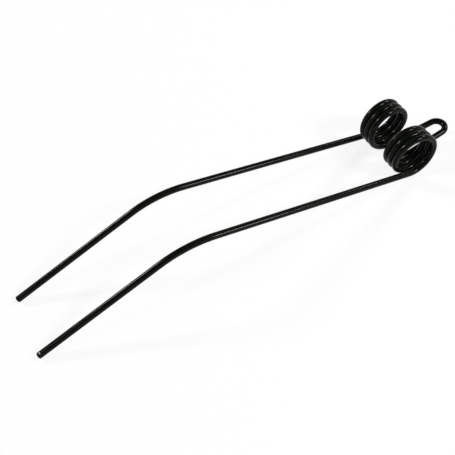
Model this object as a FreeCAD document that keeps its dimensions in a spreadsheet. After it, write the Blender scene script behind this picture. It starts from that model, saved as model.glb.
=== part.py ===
import FreeCAD, Part
import math
import os
import re
import Sketcher
from FreeCAD import Placement, Rotation, Vector

# A double spring tine: one round wire, bent and wound into two arms, two coils and the eye between them.
# The near half is drawn (negative Y), and the far half is its mirror image in the XZ plane.
# The design frame has the coils' centre line on Y, the arms along -X at the bottom of the coils, and the
# eye towards +X. The finished tine is then turned about Y until its coils and its tips touch one level
# floor, and moved until the centre of the eye's round end is at the origin.

doc = FreeCAD.newDocument("rake_tine")

# Driving dimensions, in millimetres and degrees
driving = {
    "wire_diameter": 9.0,
    "tip_rounding": 1.5,           # radius on the rim of each cut tip
    "tip_straight": 188.0,         # straight stretch from the tip to the bend
    "arm_bend_radius": 135.0,      # on the wire's centre line
    "arm_bend_angle": 33.0,
    "arm_straight": 304.0,         # straight stretch from the bend to the lead-in
    "lead_in_radius": 60.0,        # the slight bend that turns the arm into the helix
    "coil_inner_diameter": 51.0,
    "turn_gap": 0.8,               # clear gap between one turn and the next
    "full_turns": 3,
    "leg_rise": 20.0,              # the angle wound past the full turns before the leg leaves
    "leg_straight": 70.0,          # straight stretch from the coil to the eye's round end
    "eye_gap": 15.0,               # clear gap between the legs where the round end starts
}

# What follows from them, in the design frame. The legs leave the coils along the helix, so they close in.
worked_out = {
    "wire_radius": "wire_diameter / 2",
    "mean_radius": "(coil_inner_diameter + wire_diameter) / 2",
    "turn_pitch": "wire_diameter + turn_gap",
    "helix_slope": "atan2(turn_pitch; 2 * pi * mean_radius)",
    "coil_width": "turn_pitch * (full_turns + leg_rise / 360)",
    "lead_in_run": "lead_in_radius * sin(helix_slope)",
    "lead_in_shift": "lead_in_radius * (1 - cos(helix_slope))",
    "eye_offset": "(eye_gap + wire_diameter) / 2",
    "eye_radius": "eye_offset / cos(helix_slope)",
    "leg_offset": "eye_offset + leg_straight * sin(helix_slope)",
    "coil_offset": "leg_offset + coil_width",
    "arm_offset": "coil_offset + lead_in_shift",
    "leg_foot_x": "mean_radius * sin(leg_rise)",
    "leg_foot_z": "-mean_radius * cos(leg_rise)",
    "eye_reach": "leg_straight * cos(helix_slope) - eye_radius * sin(helix_slope)",
    "eye_x": "leg_foot_x + eye_reach * cos(leg_rise)",
    "eye_z": "leg_foot_z + eye_reach * sin(leg_rise)",
    # the centre, in section, of the rounding under a tip, which is what touches the floor there
    "rim_reach": "tip_straight - tip_rounding",
    "rim_depth": "wire_radius - tip_rounding",
    "rim_x": "-lead_in_run - arm_straight - (arm_bend_radius - rim_depth) * sin(arm_bend_angle)"
             " - rim_reach * cos(arm_bend_angle)",
    "rim_z": "-mean_radius - arm_bend_radius + (arm_bend_radius - rim_depth) * cos(arm_bend_angle)"
             " - rim_reach * sin(arm_bend_angle)",
    # the turn that brings that rounding as low as the outside of the coils, and the move that follows it
    "coil_drop": "mean_radius + wire_radius - tip_rounding",
    "rest_tilt": "atan2(-rim_z; -rim_x) - asin(coil_drop / hypot(rim_x; rim_z))",
    "move_x": "-eye_x * cos(rest_tilt) - eye_z * sin(rest_tilt)",
    "move_z": "eye_x * sin(rest_tilt) - eye_z * cos(rest_tilt)",
}


def expand(formula, **sheets):
    """The formula with the name of its sheet in front of each alias."""
    names = {alias: sheet + "." for sheet, cells in sheets.items() for alias in cells}
    return re.sub("[a-z_]+", lambda word: names.get(word[0], "") + word[0], formula)


def add_sheet(name, cells):
    """A sheet with one cell for each entry, and the entry's name as its alias."""
    sheet = doc.addObject("Spreadsheet::Sheet", name)
    for row, (alias, text) in enumerate(cells.items(), 1):
        sheet.set(f"A{row}", alias)
        sheet.set(f"B{row}", text)
        sheet.setAlias(f"B{row}", alias)
    return sheet


sizes = add_sheet("sizes", {alias: str(number) for alias, number in driving.items()})
formulas = {alias: "=" + expand(formula, sizes=driving) for alias, formula in worked_out.items()}
figures = add_sheet("figures", formulas)
doc.recompute()


def value(alias):
    """The number in a cell, in millimetres or degrees."""
    return float(getattr(sizes if alias in driving else figures, alias))


def bind(thing, path, formula):
    """Sets a property of the object by a formula of the cells."""
    thing.setExpression(path, expand(formula, sizes=driving, figures=worked_out))


def plane(role):
    return next(feature for feature in tine.Origin.OriginFeatures if feature.Role == role)


def add_sketch(name, role, offset=Placement()):
    """A sketch on one of the body's origin planes, at an offset from it."""
    sketch = tine.newObject("Sketcher::SketchObject", name)
    sketch.AttachmentSupport = [(plane(role), "")]
    sketch.MapMode = "FlatFace"
    sketch.AttachmentOffset = offset
    return sketch


def line(sketch, first, last):
    return sketch.addGeometry(Part.LineSegment(Vector(*first, 0), Vector(*last, 0)), False)


def arc(sketch, middle, radius, first, last):
    """An arc in the sketch about its middle, anticlockwise between two angles in degrees."""
    circle = Part.Circle(Vector(*middle, 0), Vector(0, 0, 1), radius)
    return sketch.addGeometry(Part.ArcOfCircle(circle, math.radians(first), math.radians(last)), False)


def start(curve):
    """What a constraint calls the point where a line or an arc starts."""
    return curve, 1


def end(curve):
    return curve, 2


def centre(curve):
    return curve, 3


def origin():
    return -1, 1


def hold(sketch, kind, *elements):
    sketch.addConstraint(Sketcher.Constraint(kind, *elements))


def hold_on_x_axis(sketch, *point):
    hold(sketch, "PointOnObject", *point, -1)


def hold_on_y_axis(sketch, *point):
    hold(sketch, "PointOnObject", *point, -2)


def drive(sketch, kind, *elements, by):
    """A dimension of the sketch, bound to a cell and named after it. Its angles are in radians."""
    size = math.radians(value(by)) if kind == "Angle" else value(by)
    index = sketch.addConstraint(Sketcher.Constraint(kind, *elements, size))
    sketch.renameConstraint(index, by)
    bind(sketch, "Constraints." + by, by)


tine = doc.addObject("PartDesign::Body", "double_spring_tine")
tine.Label = "double_spring_tine"


def draw_arm():
    """The near arm, in an upright plane: a straight from the tip, the bend and a straight to the coil."""
    sketch = add_sketch("arm_line", "XZ_Plane")
    bind(sketch, "AttachmentOffset.Base.z", "arm_offset")
    radius, angle, length = value("arm_bend_radius"), value("arm_bend_angle"), value("tip_straight")
    height, foot_x = -value("mean_radius"), -value("lead_in_run")
    bend_x = foot_x - value("arm_straight")
    turn = math.radians(angle)
    bend_end = (bend_x - radius * math.sin(turn), height - radius * (1 - math.cos(turn)))
    tip = (bend_end[0] - length * math.cos(turn), bend_end[1] - length * math.sin(turn))
    tip_part = line(sketch, tip, bend_end)
    bend = arc(sketch, (bend_x, height - radius), radius, 90, 90 + angle)
    arm = line(sketch, (bend_x, height), (foot_x, height))
    hold(sketch, "Tangent", *end(tip_part), *end(bend))
    hold(sketch, "Tangent", *start(bend), *start(arm))
    hold(sketch, "Horizontal", arm)
    drive(sketch, "DistanceX", *end(arm), *origin(), by="lead_in_run")
    drive(sketch, "DistanceY", *end(arm), *origin(), by="mean_radius")
    drive(sketch, "Distance", arm, by="arm_straight")
    drive(sketch, "Radius", bend, by="arm_bend_radius")
    drive(sketch, "Angle", tip_part, by="arm_bend_angle")
    drive(sketch, "Distance", tip_part, by="tip_straight")
    return sketch


def draw_lead_in():
    """The slight sideways bend under the coil that turns the arm's direction into the helix's slope."""
    sketch = add_sketch("lead_in_line", "XY_Plane")
    bind(sketch, "AttachmentOffset.Base.z", "-mean_radius")
    foot_x, foot_y, radius = -value("lead_in_run"), -value("arm_offset"), value("lead_in_radius")
    bend = arc(sketch, (foot_x, foot_y + radius), radius, -90, -90 + value("helix_slope"))
    hold(sketch, "Vertical", *start(bend), *centre(bend))
    hold_on_y_axis(sketch, *end(bend))
    drive(sketch, "DistanceX", *start(bend), *origin(), by="lead_in_run")
    drive(sketch, "DistanceY", *start(bend), *origin(), by="arm_offset")
    drive(sketch, "Radius", bend, by="lead_in_radius")
    return sketch


def draw_coil():
    """The near coil's centre line: a left-handed helix about Y, from the bottom of the coil inwards."""
    helix = doc.addObject("Part::Helix", "coil_line")
    helix.LocalCoord = "Left-handed"
    helix.Style = "New style"
    # its own Z is along Y, and its own X, where it starts, points down
    helix.Placement = Placement(Vector(0, -value("coil_offset"), 0), Rotation(Vector(1, -1, -1), 240))
    bind(helix, "Placement.Base.y", "-coil_offset")
    bind(helix, "Radius", "mean_radius")
    bind(helix, "Pitch", "turn_pitch")
    bind(helix, "Height", "coil_width")
    return helix


def draw_leg():
    """The near leg and half of the eye's round end, in the plane that both legs lie in."""
    foot = Vector(value("leg_foot_x"), 0, value("leg_foot_z"))
    offset = Placement(foot, Rotation(Vector(0, -1, 0), value("leg_rise")))
    sketch = add_sketch("leg_line", "XY_Plane", offset)
    bind(sketch, "AttachmentOffset.Base.x", "leg_foot_x")
    bind(sketch, "AttachmentOffset.Base.z", "leg_foot_z")
    bind(sketch, "AttachmentOffset.Rotation.Angle", "leg_rise")
    slope = value("helix_slope")
    run = value("leg_straight") * math.cos(math.radians(slope))
    leg = line(sketch, (0, -value("leg_offset")), (run, -value("eye_offset")))
    turn = arc(sketch, (value("eye_reach"), 0), value("eye_radius"), -90 + slope, 0)
    hold(sketch, "Tangent", *end(leg), *start(turn))
    hold_on_y_axis(sketch, *start(leg))
    hold_on_x_axis(sketch, *centre(turn))
    hold_on_x_axis(sketch, *end(turn))
    drive(sketch, "DistanceY", *start(leg), *origin(), by="leg_offset")
    drive(sketch, "Angle", leg, by="helix_slope")
    drive(sketch, "Distance", leg, by="leg_straight")
    return sketch


def draw_section(arm_line):
    """The wire's round section, square across the start of the arm's line."""
    sketch = tine.newObject("Sketcher::SketchObject", "wire_section")
    sketch.AttachmentSupport = [(arm_line, "Edge1")]
    sketch.MapMode = "NormalToEdge"
    sketch.MapPathParameter = 0
    circle = sketch.addGeometry(Part.Circle(Vector(), Vector(0, 0, 1), value("wire_radius")), False)
    hold(sketch, "Coincident", *centre(circle), *origin())
    drive(sketch, "Diameter", circle, by="wire_diameter")
    return sketch


def make_half(section, lines):
    """The near half: the section carried along all the lines, which join end to end."""
    path = tine.newObject("PartDesign::SubShapeBinder", "wire_line")
    path.Support = [(drawn, ("",)) for drawn in lines]
    path.MakeFace = False
    path.Relative = False
    doc.recompute()
    half = tine.newObject("PartDesign::AdditivePipe", "near_half")
    half.Profile = section
    half.Spine = (path, [f"Edge{number}" for number in range(1, len(path.Shape.Edges) + 1)])
    half.Mode = "Frenet"
    doc.recompute()
    return half, sum(edge.Length for edge in path.Shape.Edges)


def make_whole(half):
    """Both halves, joined at the middle of the eye's round end."""
    whole = tine.newObject("PartDesign::Mirrored", "both_halves")
    whole.Originals = [half]
    whole.MirrorPlane = (plane("XZ_Plane"), [""])
    tine.Tip = whole
    doc.recompute()
    return whole


def round_tips(whole):
    """The rounded rim of each cut tip. The rims are the two closed edges that lie furthest along -X."""
    closed = [number for number, edge in enumerate(whole.Shape.Edges, 1) if edge.Closed]
    closed.sort(key=lambda number: whole.Shape.Edges[number - 1].CenterOfMass.x)
    rounded = tine.newObject("PartDesign::Fillet", "rounded_tips")
    rounded.Base = (whole, [f"Edge{number}" for number in closed[:2]])
    rounded.Radius = value("tip_rounding")
    bind(rounded, "Radius", "tip_rounding")
    tine.Tip = rounded
    doc.recompute()


arm_line = draw_arm()
lines = [arm_line, draw_lead_in(), draw_coil(), draw_leg()]
section = draw_section(arm_line)
doc.recompute()
near_half, half_length = make_half(section, lines)
round_tips(make_whole(near_half))

move = Vector(value("move_x"), 0, value("move_z"))
tine.Placement = Placement(move, Rotation(Vector(0, 1, 0), value("rest_tilt")))
bind(tine, "Placement.Base.x", "move_x")
bind(tine, "Placement.Base.z", "move_z")
bind(tine, "Placement.Rotation.Angle", "rest_tilt")
doc.recompute()

# Nothing is written unless every feature worked and the wire is one sound solid with no lost stretch
failed = [thing.Name for thing in doc.Objects if {"Invalid", "Error"} & set(thing.State)]
if failed:
    raise SystemExit("These objects failed: " + ", ".join(failed))
if tine.Shape.isNull() or not tine.Shape.isValid() or len(tine.Shape.Solids) != 1:
    raise SystemExit("The tine isn't one valid solid.")
share = near_half.Shape.Volume / (math.pi * value("wire_radius") ** 2 * half_length)
if abs(share - 1) > 1e-6:
    raise SystemExit(f"The wire's volume is {share:.6f} of its section times its length.")

os.makedirs("parts", exist_ok=True)
tine.Shape.exportStep(f"parts/{tine.Label}.step")

box = tine.Shape.optimalBoundingBox(False, False)
print(f"wire {2 * half_length:.1f} mm long, volume {tine.Shape.Volume:.0f} mm3, one valid solid")
print(f"{box.XLength:.1f} mm long, {box.YLength:.1f} mm wide, {box.ZLength:.1f} mm high as it lies")
print(f"turned {value('rest_tilt'):.2f} degrees to lie on a floor at Z {box.ZMin:.2f}")
print(f"arms {2 * value('arm_offset'):.2f} mm apart, eye bent to a radius of {value('eye_radius'):.2f} mm")
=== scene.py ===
import math

import bpy
import numpy as np
from mathutils import Matrix, Quaternion, Vector


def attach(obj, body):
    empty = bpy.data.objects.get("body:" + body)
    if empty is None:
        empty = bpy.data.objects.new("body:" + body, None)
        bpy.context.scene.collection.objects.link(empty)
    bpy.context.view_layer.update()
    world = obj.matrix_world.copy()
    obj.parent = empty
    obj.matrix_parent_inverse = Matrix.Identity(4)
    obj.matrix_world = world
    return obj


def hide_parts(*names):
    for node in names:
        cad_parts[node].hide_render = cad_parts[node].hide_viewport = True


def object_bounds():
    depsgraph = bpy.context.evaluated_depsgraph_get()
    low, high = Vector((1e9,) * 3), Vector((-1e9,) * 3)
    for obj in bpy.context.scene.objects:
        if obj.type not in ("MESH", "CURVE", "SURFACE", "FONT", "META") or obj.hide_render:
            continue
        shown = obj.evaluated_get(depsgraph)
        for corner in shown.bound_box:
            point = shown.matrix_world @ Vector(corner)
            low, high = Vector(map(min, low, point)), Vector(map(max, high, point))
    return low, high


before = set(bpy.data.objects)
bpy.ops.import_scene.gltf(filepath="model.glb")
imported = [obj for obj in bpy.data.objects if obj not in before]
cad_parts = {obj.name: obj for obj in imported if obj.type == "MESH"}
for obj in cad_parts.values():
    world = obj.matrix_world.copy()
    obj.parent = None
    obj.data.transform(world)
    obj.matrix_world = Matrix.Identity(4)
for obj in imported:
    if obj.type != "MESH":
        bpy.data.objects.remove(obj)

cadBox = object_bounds()
node = "double_spring_tine"
millimetre = 0.001

# Surface of the wire

# The wire as a bending machine makes it: lengths in mm, angles in degrees.
# Each half is a straight tip, the arm's bend, the arm, a slight lead-in, the coil, a leg and half the eye.
wire = {
    "diameter": 9.0,
    "tipRounding": 1.5,         # the rim of each sheared tip
    "tipStraight": 188.0,
    "armBendRadius": 135.0,
    "armBendAngle": 33.0,
    "armStraight": 304.0,
    "leadInRadius": 60.0,
    "coilBore": 51.0,
    "turnGap": 0.8,
    "fullTurns": 3,
    "legRise": 20.0,            # wound past the full turns before the leg leaves
    "legStraight": 70.0,
    "eyeGap": 15.0,
    "finestStep": 0.25,         # what the centre line is summed over
    "bentStep": 1.25,           # between rings where the wire is bent
    "straightStep": 6.0,
    "ringPoints": 56,
    "rimRings": 7,
    "faceRings": (0.3, 0.65, 0.95),     # radii of the rings on a tip's flat face, as shares of its own
}


# A half's length runs from its tip. Two angles say which way it heads: its pitch in side view, measured
# from +X towards +Z, and its yaw towards +Y. Both change evenly along each stretch, so both are
# straight-line functions of the length, and the centre line is the running sum of the heading.
def wireFigures():
    radius = wire["diameter"] / 2
    coilRadius = wire["coilBore"] / 2 + radius
    advance = wire["diameter"] + wire["turnGap"]
    slope = math.atan2(advance, 2 * math.pi * coilRadius)
    bend = math.radians(wire["armBendAngle"])
    wound = 2 * math.pi * wire["fullTurns"] + math.radians(wire["legRise"])
    eyeRadius = (wire["eyeGap"] / 2 + radius) / math.cos(slope)
    stretches = [
        # length, pitch and yaw at its end, step between rings
        (wire["tipStraight"], bend, 0.0, wire["straightStep"]),
        (wire["armBendRadius"] * bend, 0.0, 0.0, wire["bentStep"]),
        (wire["armStraight"], 0.0, 0.0, wire["straightStep"]),
        (wire["leadInRadius"] * slope, 0.0, slope, wire["bentStep"]),
        (wound * coilRadius / math.cos(slope), wound, slope, wire["bentStep"]),
        (wire["legStraight"], wound, slope, wire["straightStep"]),
        (eyeRadius * (math.pi / 2 - slope), wound, math.pi / 2, wire["bentStep"]),
    ]
    return radius, coilRadius, eyeRadius, bend, stretches


# Where the rings stand along a half, and how wide each is. At the sheared tip the rim is a quarter circle:
# its radius grows by the circle's formula over the first bit of length. Rings at length 0 close the face.
def ringPlaces(radius, stretches):
    rounding = wire["tipRounding"]
    turn = np.linspace(0, math.pi / 2, wire["rimRings"])
    rimPlace = rounding * (1 - np.cos(turn))
    rimRadius = radius - rounding + rounding * np.sin(turn)
    face = (radius - rounding) * np.array(wire["faceRings"])
    place = [np.zeros(len(face)), rimPlace]
    begin = 0.0
    for length, pitch, yaw, step in stretches:
        count = max(2, round(length / step))
        place.append(np.linspace(max(begin, rounding), begin + length, count + 1)[1:])
        begin += length
    place = np.concatenate(place)
    width = np.full(len(place), radius)
    width[:len(face)] = face
    width[len(face):len(face) + len(rimRadius)] = rimRadius
    return place, width


# The wire's surface: centre line + ring radius * (across * cos(angle) + beside * sin(angle)).
# Across lies in the side view's plane, square to the heading, and beside is heading x across.
def wireSurface():
    radius, coilRadius, eyeRadius, bend, stretches = wireFigures()
    ends = np.cumsum([0.0] + [s[0] for s in stretches])
    pitchAt = np.array([bend] + [s[1] for s in stretches])
    yawAt = np.array([0.0] + [s[2] for s in stretches])

    def heading(place):
        pitch = np.interp(place, ends, pitchAt)
        yaw = np.interp(place, ends, yawAt)
        return pitch, np.stack([np.cos(yaw) * np.cos(pitch), np.sin(yaw), np.cos(yaw) * np.sin(pitch)], 1)

    fine = np.linspace(0, ends[-1], int(ends[-1] / wire["finestStep"]) + 2)
    along = heading(fine)[1]
    sums = np.zeros((len(fine), 3))
    sums[1:] = np.cumsum((along[1:] + along[:-1]) / 2, 0) * (fine[1] - fine[0])

    place, width = ringPlaces(radius, stretches)
    centre = np.stack([np.interp(place, fine, sums[:, k]) for k in range(3)], 1)
    pitch, forward = heading(place)
    across = np.stack([np.sin(pitch), 0 * pitch, -np.cos(pitch)], 1)

    # from the centre of the eye's round end, which is the row's origin
    legPitch = pitchAt[-1]
    eyeCentre = sums[-1] - eyeRadius * np.array([math.cos(legPitch), 0, math.sin(legPitch)])
    coilBegin = [np.interp(ends[4], fine, sums[:, k]) for k in range(3)]
    coilAxis = np.array([coilBegin[0], 0, coilBegin[2] + coilRadius])
    rimCentre = centre[0] + wire["tipRounding"] * forward[0] + (radius - wire["tipRounding"]) * across[0]

    # it lies on its coils and its tips: turned about Y until the lowest points of both are level
    x, y, z = rimCentre - coilAxis
    reach = coilRadius + radius - wire["tipRounding"]
    tilt = math.atan2(-z, -x) - math.asin(reach / math.hypot(x, z))
    turned = np.array([[math.cos(tilt), 0, math.sin(tilt)],
                       [0, 1, 0],
                       [-math.sin(tilt), 0, math.cos(tilt)]])
    centre = (centre - eyeCentre) @ turned.T
    forward = forward @ turned.T
    across = across @ turned.T

    # the far half is the near one across the plane Y = 0, run the other way
    mirror = np.array([1, -1, 1])
    back = slice(-2, None, -1)
    centre = np.concatenate([centre, centre[back] * mirror])
    forward = np.concatenate([forward, -forward[back] * mirror])
    across = np.concatenate([across, across[back]])
    width = np.concatenate([width, width[back]])
    length = np.concatenate([place, 2 * ends[-1] - place[back]])

    beside = np.cross(forward, across)
    angle = np.linspace(0, 2 * math.pi, wire["ringPoints"], endpoint=False)
    c, s = np.cos(angle)[None, :, None], np.sin(angle)[None, :, None]
    points = centre[:, None] + width[:, None, None] * (across[:, None] * c + beside[:, None] * s)

    # each point's place on the straightened wire, for patterns that follow it
    straight = np.empty_like(points)
    straight[..., 0] = width[:, None] * np.cos(angle)
    straight[..., 1] = width[:, None] * np.sin(angle)
    straight[..., 2] = length[:, None]
    poles = centre[[0, -1]]
    polesStraight = np.array([[0, 0, length[0]], [0, 0, length[-1]]])
    points = np.concatenate([points.reshape(-1, 3), poles])
    straight = np.concatenate([straight.reshape(-1, 3), polesStraight])
    return points * millimetre, straight * millimetre, len(centre)


# Quads between neighbouring rings, and a fan of triangles to a pole in the middle of each tip
def wireFaces(rings):
    around = wire["ringPoints"]
    ring = np.arange(rings - 1)[:, None] * around
    now, following = np.arange(around), (np.arange(around) + 1) % around
    quads = np.stack([ring + now, ring + following, ring + around + following, ring + around + now], -1)
    last = (rings - 1) * around
    nearPole, farPole = rings * around, rings * around + 1
    nearFan = [(nearPole, b, a) for a, b in zip(now.tolist(), following.tolist())]
    farFan = [(farPole, last + a, last + b) for a, b in zip(now.tolist(), following.tolist())]
    return quads.reshape(-1, 4).tolist() + nearFan + farFan


# One closed mesh, smooth all over
def makeWire():
    points, straight, rings = wireSurface()
    mesh = bpy.data.meshes.new("wireOfTheTine")
    mesh.from_pydata(points.tolist(), [], wireFaces(rings))
    mesh.polygons.foreach_set("use_smooth", np.ones(len(mesh.polygons), bool))
    place = mesh.attributes.new("wirePlace", "FLOAT_VECTOR", "POINT")
    place.data.foreach_set("vector", straight.astype(np.float32).ravel())
    mesh.validate()
    mesh.update()
    piece = bpy.data.objects.new("wireOfTheTine", mesh)
    bpy.context.scene.collection.objects.link(piece)
    print("wire:", rings, "rings,", len(mesh.polygons), "faces")
    return piece


# Materials

# Black dipping enamel on drawn spring steel, semi-gloss. Sizes are of the patterns on the wire.
paint = {
    "darkTone": "#090c09",
    "lightTone": "#12150f",     # a little olive where the coat is thin
    "toneSizeMm": 18.0,
    "toneDetail": 4.0,
    "toneBreakUp": 0.6,
    "thinFrom": 0.38,           # the noise value from which the coat runs thin
    "thinTo": 0.68,             # and the one where it is thinnest
    "dullFrom": 0.35,           # the same for its dullness, which begins a little sooner
    "roughnessLow": 0.15,
    "roughnessHigh": 0.20,
    "specularLevel": 0.09,
    "peelSizeMm": 1.8,          # the coat's faint orange peel
    "peelHeightMm": 0.003,
    "peelDetail": 2.0,
    "lineSpacingMm": 0.9,       # drawing lines along the wire, coarser than is usual so that they show
    "lineLengthMm": 60.0,
    "lineHeightMm": 0.006,
    "lineDetail": 1.0,
}

# Painted glint: the light spot near one tip is drawn as a patch where the coat is chipped off and the drawn
# steel shows
paintedGlintChip = {
    "alongMm": 4.6,             # from the tip's end
    "roundDegrees": 189.0,
    "radiusMm": 1.3,
    "biteMm": 2.4,              # how deep the coat's ragged edge bites into the spot
    "biteSizeMm": 1.6,          # how wide the bites are
    "biteDetail": 3.0,
    "edgeMm": 0.15,             # how wide the step from coat to steel is
    "depthMm": 0.06,
    "steel": "#a1a49f",
    "steelRoughness": 0.48,
}


# An sRGB hex colour as the linear one that shaders take
def linearColour(code):
    parts = [int(code[i:i + 2], 16) / 255 for i in (1, 3, 5)]
    return tuple(p / 12.92 if p <= 0.04045 else ((p + 0.055) / 1.055) ** 2.4 for p in parts) + (1.0,)


# Adds a node: settings are its properties, and each input is a value or another node's output
def addNode(tree, kind, settings=None, inputs=None):
    made = tree.nodes.new(kind)
    for name, value in (settings or {}).items():
        setattr(made, name, value)
    for name, value in (inputs or {}).items():
        if isinstance(value, bpy.types.NodeSocket):
            tree.links.new(value, made.inputs[name])
        else:
            made.inputs[name].default_value = value
    return made


# How many times a pattern of this size fits in a metre
def timesAMetre(sizeMm):
    return 1 / (sizeMm * millimetre)


# Dipped enamel: the eye gets a near-black with narrow soft highlights that waver a little, from the coat's
# own ripple and from the drawing lines that show through it. Patterns follow the straightened wire.
def makePaint():
    material = bpy.data.materials.new("blackDippedEnamel")
    material.use_nodes = True
    tree = material.node_tree
    tree.nodes.clear()
    place = addNode(tree, "ShaderNodeAttribute", {"attribute_name": "wirePlace"}).outputs["Vector"]

    # the coat runs thin in places: lighter there, and duller
    thin = addNode(tree, "ShaderNodeTexNoise", None,
                   {"Vector": place, "Scale": timesAMetre(paint["toneSizeMm"]),
                    "Detail": paint["toneDetail"], "Roughness": paint["toneBreakUp"]})
    tone = addNode(tree, "ShaderNodeValToRGB", None, {"Fac": thin.outputs["Fac"]})
    tone.color_ramp.elements[0].position = paint["thinFrom"]
    tone.color_ramp.elements[0].color = linearColour(paint["darkTone"])
    tone.color_ramp.elements[1].position = paint["thinTo"]
    tone.color_ramp.elements[1].color = linearColour(paint["lightTone"])
    gloss = addNode(tree, "ShaderNodeMapRange", None,
                    {"Value": thin.outputs["Fac"],
                     "From Min": paint["dullFrom"], "From Max": paint["thinTo"],
                     "To Min": paint["roughnessLow"], "To Max": paint["roughnessHigh"]})

    # the painted glint: a ragged spot by distance from its middle, 1 inside and 0 outside
    a = math.radians(paintedGlintChip["roundDegrees"])
    middle = (wire["diameter"] / 2 * math.cos(a), wire["diameter"] / 2 * math.sin(a), paintedGlintChip["alongMm"])
    away = addNode(tree, "ShaderNodeVectorMath", {"operation": "DISTANCE"},
                   {0: place, 1: [c * millimetre for c in middle]})
    ragged = addNode(tree, "ShaderNodeTexNoise", None,
                     {"Vector": place, "Scale": timesAMetre(paintedGlintChip["biteSizeMm"]),
                      "Detail": paintedGlintChip["biteDetail"]})
    edge = addNode(tree, "ShaderNodeMath", {"operation": "MULTIPLY_ADD"},
                   {0: ragged.outputs["Fac"], 1: paintedGlintChip["biteMm"] * millimetre, 2: away.outputs["Value"]})
    outer = (paintedGlintChip["radiusMm"] + paintedGlintChip["biteMm"] / 2) * millimetre
    inner = outer - paintedGlintChip["edgeMm"] * millimetre
    # painted glint mask: where it is 1 the coat gives way to light steel colour and metal
    glintSpot = addNode(tree, "ShaderNodeMapRange", None,
                   {"Value": edge.outputs["Value"], "From Min": outer, "From Max": inner}).outputs["Result"]
    # the painted glint's light steel colour mixed into the coat's tone
    colour = addNode(tree, "ShaderNodeMix", {"data_type": "RGBA"},
                     {0: glintSpot, 6: tone.outputs["Color"], 7: linearColour(paintedGlintChip["steel"])}).outputs[2]
    roughness = addNode(tree, "ShaderNodeMix", {"data_type": "FLOAT"},
                        {0: glintSpot, 2: gloss.outputs["Result"], 3: paintedGlintChip["steelRoughness"]}).outputs[0]

    peel = addNode(tree, "ShaderNodeTexNoise", None,
                   {"Vector": place, "Scale": timesAMetre(paint["peelSizeMm"]),
                    "Detail": paint["peelDetail"]})
    drawn = addNode(tree, "ShaderNodeMapping", None,
                    {"Vector": place, "Scale": (timesAMetre(paint["lineSpacingMm"]),
                                                timesAMetre(paint["lineSpacingMm"]),
                                                timesAMetre(paint["lineLengthMm"]))})
    lines = addNode(tree, "ShaderNodeTexNoise", None,
                    {"Vector": drawn.outputs["Vector"], "Scale": 1.0, "Detail": paint["lineDetail"]})

    # three reliefs on top of each other: ripple and drawing lines stand out, the painted glint's steel spot
    # lies lower
    relief = None
    for pattern, heightMm in ((peel.outputs["Fac"], paint["peelHeightMm"]),
                              (lines.outputs["Fac"], paint["lineHeightMm"]),
                              (glintSpot, -paintedGlintChip["depthMm"])):
        below = {"Normal": relief} if relief else {}
        relief = addNode(tree, "ShaderNodeBump", {"invert": heightMm < 0},
                         {"Height": pattern, "Strength": 1.0, "Distance": abs(heightMm) * millimetre,
                          **below}).outputs["Normal"]
    coat = addNode(tree, "ShaderNodeBsdfPrincipled", None,
                   {"Base Color": colour, "Roughness": roughness, "Metallic": glintSpot,
                    "Specular IOR Level": paint["specularLevel"], "Normal": relief})
    addNode(tree, "ShaderNodeOutputMaterial", None, {"Surface": coat.outputs["BSDF"]})
    return material


# Studio

studio = {
    "floorColour": "#fafaf8",
    "floorSize": 60.0,
    "paperShare": 0.86,         # how much of the floor reads as lit white paper; the rest keeps the shadow
    "wallColour": "#f2f2f0",
    "wallTop": 0.10,            # the wall is pale up to here, as the sine of an elevation
    "wallFade": 0.42,           # and darkens to the ceiling's colour over this much more
    "ceilingColour": "#5a5a5a",
}


# Pale floor. The camera and reflections see it as white paper, with the shadow faintly on it.
def makeFloor(height, middle):
    material = bpy.data.materials.new("paleFloor")
    material.use_nodes = True
    tree = material.node_tree
    tree.nodes.clear()
    rays = addNode(tree, "ShaderNodeLightPath").outputs
    cameraOrGlossy = addNode(tree, "ShaderNodeMath", {"operation": "MAXIMUM"},
                             {0: rays["Is Camera Ray"], 1: rays["Is Glossy Ray"]})
    seen = addNode(tree, "ShaderNodeMath", {"operation": "MAXIMUM"},
                   {0: cameraOrGlossy.outputs["Value"], 1: rays["Is Transmission Ray"]})
    share = addNode(tree, "ShaderNodeMath", {"operation": "MULTIPLY"},
                    {0: seen.outputs["Value"], 1: studio["paperShare"]})
    matt = addNode(tree, "ShaderNodeBsdfDiffuse", None, {"Color": linearColour(studio["floorColour"])})
    paper = addNode(tree, "ShaderNodeEmission", None, {"Color": (1, 1, 1, 1), "Strength": 1.0})
    mixed = addNode(tree, "ShaderNodeMixShader", None, {0: share.outputs["Value"], 1: matt.outputs["BSDF"],
                                                        2: paper.outputs["Emission"]})
    addNode(tree, "ShaderNodeOutputMaterial", None, {"Surface": mixed.outputs["Shader"]})

    half = studio["floorSize"] / 2
    x, y = middle[0], middle[1]
    mesh = bpy.data.meshes.new("floor")
    mesh.from_pydata([(x - half, y - half, height), (x + half, y - half, height),
                      (x + half, y + half, height), (x - half, y + half, height)], [], [(0, 1, 2, 3)])
    mesh.materials.append(material)
    floor = bpy.data.objects.new("floor", mesh)
    bpy.context.scene.collection.objects.link(floor)


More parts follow.
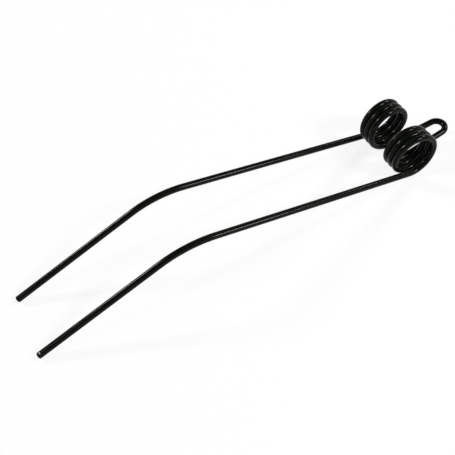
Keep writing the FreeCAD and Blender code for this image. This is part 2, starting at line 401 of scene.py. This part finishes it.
# A pale wall round the floor that gives way to a dimmer ceiling, by the height of the direction looked in
def makeWorld():
    world = bpy.data.worlds.new("studioRoom")
    bpy.context.scene.world = world
    world.use_nodes = True
    tree = world.node_tree
    tree.nodes.clear()
    looked = addNode(tree, "ShaderNodeTexCoord").outputs["Generated"]
    height = addNode(tree, "ShaderNodeSeparateXYZ", None, {"Vector": looked}).outputs["Z"]
    upwards = addNode(tree, "ShaderNodeMapRange", {"interpolation_type": "SMOOTHSTEP"},
                      {"Value": height, "From Min": studio["wallTop"],
                       "From Max": studio["wallTop"] + studio["wallFade"]})
    tone = addNode(tree, "ShaderNodeValToRGB", None, {"Fac": upwards.outputs["Result"]})
    tone.color_ramp.elements[0].color = linearColour(studio["wallColour"])
    tone.color_ramp.elements[1].color = linearColour(studio["ceilingColour"])
    room = addNode(tree, "ShaderNodeBackground", None, {"Color": tone.outputs["Color"], "Strength": 1.0})
    addNode(tree, "ShaderNodeOutputWorld", None, {"Surface": room.outputs["Background"]})


# Soft lamps, placed by the direction they are seen in from the tine, in degrees: azimuth from +X towards
# +Y, then elevation, width, height, and how far the top leans towards smaller azimuths. Distance is in
# metres. Strength is the share of a full level that the lamp would give a surface facing it. The two that
# lean follow the way the coils turn, so that their highlights lie along the wire.
lamps = {
    "besideTheNearArm": {"azimuth": -48.5, "elevation": 37.0, "width": 8.0, "height": 12.0, "lean": 37.0,
                         "distance": 3.5, "strength": 0.60},
    "behindTheFarArm": {"azimuth": 122.5, "elevation": 31.0, "width": 8.0, "height": 10.0, "lean": 36.0,
                        "distance": 6.0, "strength": 0.61},
    "behindTheEye": {"azimuth": 3.0, "elevation": 36.0, "width": 8.0, "height": 9.0, "lean": 0.0,
                     "distance": 6.0, "strength": 0.28},
    "overTheTips": {"azimuth": 178.0, "elevation": 43.0, "width": 8.0, "height": 5.0, "lean": 0.0,
                    "distance": 6.0, "strength": 0.05},
}


# A lamp's size and power follow its distance, so the tine sees it as large and as bright wherever it stands
def makeLamps(target):
    for name, lamp in lamps.items():
        a, e, lean = (math.radians(lamp[k]) for k in ("azimuth", "elevation", "lean"))
        away = Vector((math.cos(a) * math.cos(e), math.sin(a) * math.cos(e), math.sin(e)))
        data = bpy.data.lights.new(name, "AREA")
        data.shape = "RECTANGLE"
        data.size = 2 * lamp["distance"] * math.tan(math.radians(lamp["width"] / 2))
        data.size_y = 2 * lamp["distance"] * math.tan(math.radians(lamp["height"] / 2))
        data.energy = lamp["strength"] * (math.pi * lamp["distance"]) ** 2
        made = bpy.data.objects.new(name, data)
        made.location = target + away * lamp["distance"]
        made.rotation_euler = (away.to_track_quat("Z", "Y") @ Quaternion((0, 0, 1), lean)).to_euler()
        bpy.context.scene.collection.objects.link(made)


# A camera that shows the tine as the photograph does, found by fitting the bent wire to its outline
shot = {
    "placeMm": (-525.5, -481.2, 696.3),
    "azimuth": -20.62,
    "elevation": 53.61,
    "roll": -8.67,
    "lensMm": 50.89,
    "sensorMm": 36.0,
    "nearestMm": 50.0,
    "farthestMm": 200000.0,
}


# The camera looks along its azimuth and down by its elevation, then rolls
def makeCamera():
    a, e, roll = (math.radians(shot[k]) for k in ("azimuth", "elevation", "roll"))
    level = np.array([math.cos(a), math.sin(a), 0])
    forward = np.array([-math.sin(a) * math.cos(e), math.cos(a) * math.cos(e), -math.sin(e)])
    upright = np.cross(level, forward)
    right = level * math.cos(roll) + upright * math.sin(roll)
    up = upright * math.cos(roll) - level * math.sin(roll)
    data = bpy.data.cameras.new("photographCamera")
    data.lens, data.sensor_width = shot["lensMm"], shot["sensorMm"]
    data.clip_start, data.clip_end = shot["nearestMm"] * millimetre, shot["farthestMm"] * millimetre
    made = bpy.data.objects.new("photographCamera", data)
    columns = np.eye(4)
    columns[:3, :3] = np.stack([right, up, -forward], 1)
    columns[:3, 3] = np.array(shot["placeMm"]) * millimetre
    made.matrix_world = Matrix(columns.tolist())
    bpy.context.scene.collection.objects.link(made)
    bpy.context.scene.camera = made


tine = makeWire()
tine.data.materials.append(makePaint())
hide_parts(node)
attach(tine, "root")

lowest, highest = cadBox
middle = (lowest + highest) / 2
makeFloor(lowest[2], middle)
makeWorld()
makeLamps(middle)
makeCamera()
bpy.context.scene.view_settings.view_transform = "Standard"
print("studio: floor, world,", len(lamps), "lamps and the camera")
